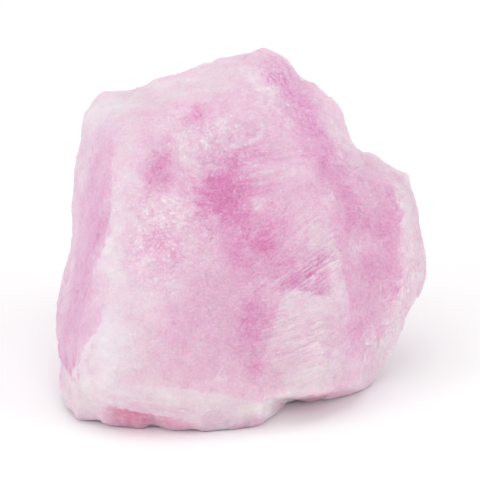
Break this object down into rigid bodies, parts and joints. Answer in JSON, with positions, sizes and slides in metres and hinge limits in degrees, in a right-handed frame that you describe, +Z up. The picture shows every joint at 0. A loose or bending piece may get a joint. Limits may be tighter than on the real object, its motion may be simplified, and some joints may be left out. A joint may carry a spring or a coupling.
{
  "type": "aragonite specimen",
  "caption": "Rough hand-sized chunk of massive pink aragonite with a broad leaning face, a set-back side lobe, an undercut foot and a flat break to rest on.",
  "frame": {"origin": "centre of the bounding box in X and Y, at the height of the flat resting face", "axes": "+Z up; +X to the right along the broad face, towards the set-back lobe; -Y out of the broad face, which leans back towards +Y as it rises"},
  "size_m": [0.0468, 0.0398, 0.0369],
  "materials": {
    "pink_aragonite": "waxy broken surface, pale rose with white zones, slightly translucent"
  },
  "bodies": {
    "root": {"aragonite_chunk": "pink_aragonite"}
  },
  "joints": []
}
